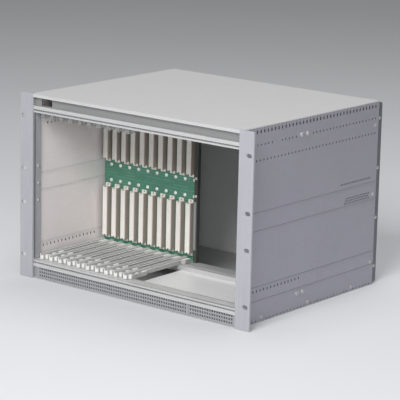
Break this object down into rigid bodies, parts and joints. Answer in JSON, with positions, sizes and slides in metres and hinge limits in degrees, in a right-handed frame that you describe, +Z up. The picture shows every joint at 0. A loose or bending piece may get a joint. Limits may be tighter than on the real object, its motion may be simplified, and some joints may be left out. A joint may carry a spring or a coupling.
{
  "type": "subrack card cage",
  "caption": "Nineteen-inch card cage with perforated side sheets, slotted mounting ears, card guides, a half-width backplane and an open bay.",
  "frame": {"origin": "middle of the footprint, on the base, with the depth counted over the rear flanges", "axes": "+X to the right seen from the front, along the width over the ears; +Y from the front to the rear; +Z up"},
  "size_m": [0.4826, 0.375, 0.3103],
  "materials": {
    "side_sheet_aluminium": "satin anodised",
    "ear_aluminium": "satin anodised",
    "cover_sheet": "satin",
    "front_strip_sheet": "satin",
    "inner_sheet": "satin, in shade",
    "flange_steel": "satin",
    "tapped_strip_steel": "zinc plated",
    "rail_aluminium": "bright extruded",
    "grille_sheet": "satin",
    "floor_plate_sheet": "satin, bright",
    "board_laminate": "solder-resist green",
    "connector_moulding": "warm white",
    "guide_moulding": "light grey",
    "dark_support": "dark, matte",
    "contact_strip": "satin",
    "fastener_steel": "zinc plated"
  },
  "bodies": {
    "root": {"left_side_panel": "side_sheet_aluminium", "right_side_panel": "side_sheet_aluminium", "left_mounting_ear": "ear_aluminium", "right_mounting_ear": "ear_aluminium", "top_cover": "cover_sheet", "top_front_strip": "front_strip_sheet", "bottom_cover": "inner_sheet", "rear_panel": "inner_sheet", "left_rear_flange": "flange_steel", "right_rear_flange": "flange_steel", "front_bottom_rail": "rail_aluminium", "front_top_rail": "rail_aluminium", "rear_bottom_rail": "rail_aluminium", "rear_top_rail": "rail_aluminium", "front_bottom_tapped_strip": "tapped_strip_steel", "front_top_tapped_strip": "tapped_strip_steel", "rear_bottom_tapped_strip": "tapped_strip_steel", "rear_top_tapped_strip": "tapped_strip_steel", "air_grille_left": "grille_sheet", "air_grille_right": "grille_sheet", "bay_floor_plate": "floor_plate_sheet", "backplane_board": "board_laminate", "lower_connectors": "connector_moulding", "upper_connectors": "connector_moulding", "board_edge_support": "dark_support", "edge_contact_strip": "contact_strip", "lower_guide_01": "guide_moulding", "lower_guide_02": "guide_moulding", "lower_guide_03": "guide_moulding", "lower_guide_04": "guide_moulding", "lower_guide_05": "guide_moulding", "lower_guide_06": "guide_moulding", "lower_guide_07": "guide_moulding", "lower_guide_08": "guide_moulding", "lower_guide_09": "guide_moulding", "lower_guide_10": "guide_moulding", "upper_guide_01": "guide_moulding", "upper_guide_02": "guide_moulding", "upper_guide_03": "guide_moulding", "upper_guide_04": "guide_moulding", "upper_guide_05": "guide_moulding", "upper_guide_06": "guide_moulding", "upper_guide_07": "guide_moulding", "upper_guide_08": "guide_moulding", "upper_guide_09": "guide_moulding", "upper_guide_10": "guide_moulding", "rail_screws": "fastener_steel", "ear_screws": "fastener_steel", "rear_flange_screws": "fastener_steel", "rear_panel_screws": "fastener_steel", "bottom_cover_screws": "fastener_steel", "cover_screws": "fastener_steel", "backplane_screws": "fastener_steel", "power_tap_screws": "fastener_steel", "power_tap_nuts": "fastener_steel", "edge_support_screws": "fastener_steel"}
  },
  "joints": []
}
